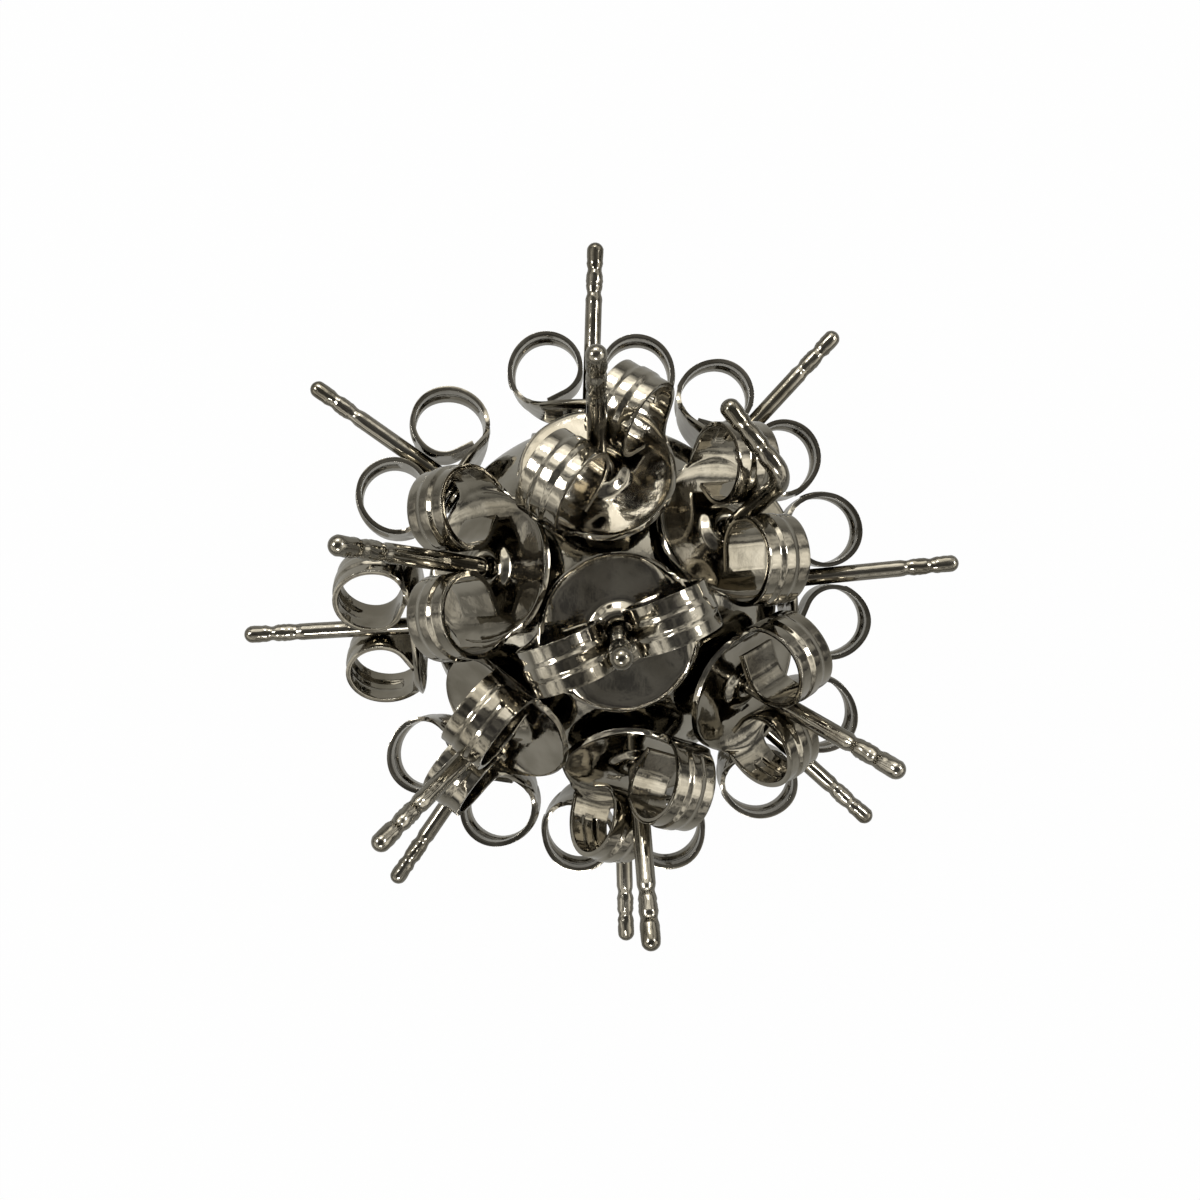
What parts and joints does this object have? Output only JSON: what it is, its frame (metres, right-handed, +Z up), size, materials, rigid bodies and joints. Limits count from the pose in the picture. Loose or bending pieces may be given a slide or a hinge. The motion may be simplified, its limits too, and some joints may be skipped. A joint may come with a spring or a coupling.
{
  "type": "magnetic desk sculpture",
  "caption": "Polished ball magnet bristling with short metal posts, each carrying a scrolled butterfly clutch that slides along and turns about its post.",
  "frame": {"origin": "centre of the footprint on the table plane, straight under the ball centre; the caps of the four foot posts touch z = 0", "axes": "+Z up through the ball towards the top unit; +X and +Y are the right and the top of the view from straight above"},
  "size_m": [0.039, 0.0391, 0.0356],
  "materials": {
    "magnet_plating": "polished nickel plating",
    "post_metal": "polished, drawn wire",
    "clutch_metal": "mirror-polished stamped sheet"
  },
  "bodies": {
    "magnet": {"magnet_ball": "magnet_plating"},
    "post_top": {"post_top": "post_metal"},
    "clutch_top": {"clutch_top": "clutch_metal"},
    "post_high_1": {"post_high_1": "post_metal"},
    "clutch_high_1": {"clutch_high_1": "clutch_metal"},
    "post_high_2": {"post_high_2": "post_metal"},
    "clutch_high_2": {"clutch_high_2": "clutch_metal"},
    "post_high_3": {"post_high_3": "post_metal"},
    "clutch_high_3": {"clutch_high_3": "clutch_metal"},
    "post_high_4": {"post_high_4": "post_metal"},
    "clutch_high_4": {"clutch_high_4": "clutch_metal"},
    "post_high_5": {"post_high_5": "post_metal"},
    "clutch_high_5": {"clutch_high_5": "clutch_metal"},
    "post_high_6": {"post_high_6": "post_metal"},
    "clutch_high_6": {"clutch_high_6": "clutch_metal"},
    "post_side_1": {"post_side_1": "post_metal"},
    "clutch_side_1": {"clutch_side_1": "clutch_metal"},
    "post_side_2": {"post_side_2": "post_metal"},
    "clutch_side_2": {"clutch_side_2": "clutch_metal"},
    "post_side_3": {"post_side_3": "post_metal"},
    "clutch_side_3": {"clutch_side_3": "clutch_metal"},
    "post_side_4": {"post_side_4": "post_metal"},
    "clutch_side_4": {"clutch_side_4": "clutch_metal"},
    "post_side_5": {"post_side_5": "post_metal"},
    "clutch_side_5": {"clutch_side_5": "clutch_metal"},
    "post_side_6": {"post_side_6": "post_metal"},
    "clutch_side_6": {"clutch_side_6": "clutch_metal"},
    "post_side_7": {"post_side_7": "post_metal"},
    "clutch_side_7": {"clutch_side_7": "clutch_metal"},
    "post_side_8": {"post_side_8": "post_metal"},
    "clutch_side_8": {"clutch_side_8": "clutch_metal"},
    "post_foot_1": {"post_foot_1": "post_metal"},
    "clutch_foot_1": {"clutch_foot_1": "clutch_metal"},
    "post_foot_2": {"post_foot_2": "post_metal"},
    "clutch_foot_2": {"clutch_foot_2": "clutch_metal"},
    "post_foot_3": {"post_foot_3": "post_metal"},
    "clutch_foot_3": {"clutch_foot_3": "clutch_metal"},
    "post_foot_4": {"post_foot_4": "post_metal"},
    "clutch_foot_4": {"clutch_foot_4": "clutch_metal"}
  },
  "joints": [
    {"name": "turn_top", "type": "hinge", "parent": "magnet", "child": "post_top", "pos_m": [0.00079, -0.00163, 0.02555], "axis": [-0.0069, -0.0817, 0.9966], "range_deg": [-8, 85]},
    {"name": "slide_top", "type": "slide", "parent": "post_top", "child": "clutch_top", "axis": [-0.0069, -0.0817, 0.9966], "range_m": [0, 0.009]},
    {"name": "turn_high_1", "type": "hinge", "parent": "magnet", "child": "post_high_1", "pos_m": [-0.00025, 0.00526, 0.02411], "axis": [-0.0008, 0.4726, 0.8813], "range_deg": [-30, 6]},
    {"name": "slide_high_1", "type": "slide", "parent": "post_high_1", "child": "clutch_high_1", "axis": [-0.0008, 0.4726, 0.8813], "range_m": [0, 0.0083]},
    {"name": "turn_high_2", "type": "hinge", "parent": "magnet", "child": "post_high_2", "pos_m": [0.00582, 0.00295, 0.02345], "axis": [0.3844, 0.3817, 0.8406], "range_deg": [-15, 12]},
    {"name": "slide_high_2", "type": "slide", "parent": "post_high_2", "child": "clutch_high_2", "axis": [0.3844, 0.3817, 0.8406], "range_m": [0, 0.0006]},
    {"name": "turn_high_3", "type": "hinge", "parent": "magnet", "child": "post_high_3", "pos_m": [0.00673, -0.00405, 0.02155], "axis": [0.6834, -0.3945, 0.6143], "range_deg": [-10, 1]},
    {"name": "slide_high_3", "type": "slide", "parent": "post_high_3", "child": "clutch_high_3", "axis": [0.6834, -0.3945, 0.6143], "range_m": [0, 0.009]},
    {"name": "turn_high_4", "type": "hinge", "parent": "magnet", "child": "post_high_4", "pos_m": [0.00169, -0.00785, 0.02137], "axis": [0.0569, -0.8348, 0.5476], "range_deg": [-30, 0]},
    {"name": "slide_high_4", "type": "slide", "parent": "post_high_4", "child": "clutch_high_4", "axis": [0.0569, -0.8348, 0.5476], "range_m": [0, 0.009]},
    {"name": "turn_high_5", "type": "hinge", "parent": "magnet", "child": "post_high_5", "pos_m": [-0.00449, -0.00568, 0.02239], "axis": [-0.5543, -0.5447, 0.6293], "range_deg": [-75, 12]},
    {"name": "slide_high_5", "type": "slide", "parent": "post_high_5", "child": "clutch_high_5", "axis": [-0.5543, -0.5447, 0.6293], "range_m": [0, 0.009]},
    {"name": "turn_high_6", "type": "hinge", "parent": "magnet", "child": "post_high_6", "pos_m": [-0.00509, 0.00132, 0.02413], "axis": [-0.6104, 0.0804, 0.788], "range_deg": [-15, 80]},
    {"name": "slide_high_6", "type": "slide", "parent": "post_high_6", "child": "clutch_high_6", "axis": [-0.6104, 0.0804, 0.788], "range_m": [0, 0.009]},
    {"name": "turn_side_1", "type": "hinge", "parent": "magnet", "child": "post_side_1", "pos_m": [-0.00066, 0.00955, 0.01625], "axis": [0.0297, 0.9995, -0.007], "continuous": true},
    {"name": "slide_side_1", "type": "slide", "parent": "post_side_1", "child": "clutch_side_1", "axis": [0.0297, 0.9995, -0.007], "range_m": [0, 0.009]},
    {"name": "turn_side_2", "type": "hinge", "parent": "magnet", "child": "post_side_2", "pos_m": [0.0062, 0.00725, 0.01618], "axis": [0.6781, 0.7348, -0.014], "continuous": true},
    {"name": "slide_side_2", "type": "slide", "parent": "post_side_2", "child": "clutch_side_2", "axis": [0.6781, 0.7348, -0.014], "range_m": [0, 0.009]},
    {"name": "turn_side_3", "type": "hinge", "parent": "magnet", "child": "post_side_3", "pos_m": [0.00947, 0.00089, 0.01664], "axis": [0.9947, 0.0975, 0.0332], "range_deg": [-150, 5]},
    {"name": "slide_side_3", "type": "slide", "parent": "post_side_3", "child": "clutch_side_3", "axis": [0.9947, 0.0975, 0.0332], "range_m": [0, 0.009]},
    {"name": "turn_side_4", "type": "hinge", "parent": "magnet", "child": "post_side_4", "pos_m": [0.00757, -0.00581, 0.01566], "axis": [0.7428, -0.6688, -0.0297], "range_deg": [-50, 75]},
    {"name": "slide_side_4", "type": "slide", "parent": "post_side_4", "child": "clutch_side_4", "axis": [0.7428, -0.6688, -0.0297], "range_m": [0, 0.008]},
    {"name": "turn_side_5", "type": "hinge", "parent": "magnet", "child": "post_side_5", "pos_m": [0.0011, -0.00946, 0.0151], "axis": [0.0279, -0.9981, -0.0558], "range_deg": [-45, 75]},
    {"name": "slide_side_5", "type": "slide", "parent": "post_side_5", "child": "clutch_side_5", "axis": [0.0279, -0.9981, -0.0558], "range_m": [0, 0.0081]},
    {"name": "turn_side_6", "type": "hinge", "parent": "magnet", "child": "post_side_6", "pos_m": [-0.00586, -0.00753, 0.01599], "axis": [-0.565, -0.8251, 0], "range_deg": [-60, 40]},
    {"name": "slide_side_6", "type": "slide", "parent": "post_side_6", "child": "clutch_side_6", "axis": [-0.565, -0.8251, 0], "range_m": [0, 0.00855]},
    {"name": "turn_side_7", "type": "hinge", "parent": "magnet", "child": "post_side_7", "pos_m": [-0.00944, -0.00151, 0.01663], "axis": [-0.9969, -0.0557, 0.0558], "continuous": true},
    {"name": "slide_side_7", "type": "slide", "parent": "post_side_7", "child": "clutch_side_7", "axis": [-0.9969, -0.0557, 0.0558], "range_m": [0, 0.009]},
    {"name": "turn_side_8", "type": "hinge", "parent": "magnet", "child": "post_side_8", "pos_m": [-0.00757, 0.00576, 0.01671], "axis": [-0.8171, 0.5743, 0.0506], "continuous": true},
    {"name": "slide_side_8", "type": "slide", "parent": "post_side_8", "child": "clutch_side_8", "axis": [-0.8171, 0.5743, 0.0506], "range_m": [0, 0.009]},
    {"name": "turn_foot_1", "type": "hinge", "parent": "magnet", "child": "post_foot_1", "pos_m": [0.00495, 0.00231, 0.00832], "axis": [0.5198, 0.2424, -0.8192], "continuous": true},
    {"name": "slide_foot_1", "type": "slide", "parent": "post_foot_1", "child": "clutch_foot_1", "axis": [0.5198, 0.2424, -0.8192], "range_m": [0, 0.0029]},
    {"name": "turn_foot_2", "type": "hinge", "parent": "magnet", "child": "post_foot_2", "pos_m": [-0.00231, 0.00495, 0.00832], "axis": [-0.2424, 0.5198, -0.8192], "continuous": true},
    {"name": "slide_foot_2", "type": "slide", "parent": "post_foot_2", "child": "clutch_foot_2", "axis": [-0.2424, 0.5198, -0.8192], "range_m": [0, 0.0029]},
    {"name": "turn_foot_3", "type": "hinge", "parent": "magnet", "child": "post_foot_3", "pos_m": [-0.00495, -0.00231, 0.00832], "axis": [-0.5198, -0.2424, -0.8192], "continuous": true},
    {"name": "slide_foot_3", "type": "slide", "parent": "post_foot_3", "child": "clutch_foot_3", "axis": [-0.5198, -0.2424, -0.8192], "range_m": [0, 0.0029]},
    {"name": "turn_foot_4", "type": "hinge", "parent": "magnet", "child": "post_foot_4", "pos_m": [0.00231, -0.00495, 0.00832], "axis": [0.2424, -0.5198, -0.8192], "continuous": true},
    {"name": "slide_foot_4", "type": "slide", "parent": "post_foot_4", "child": "clutch_foot_4", "axis": [0.2424, -0.5198, -0.8192], "range_m": [0, 0.0029]}
  ]
}
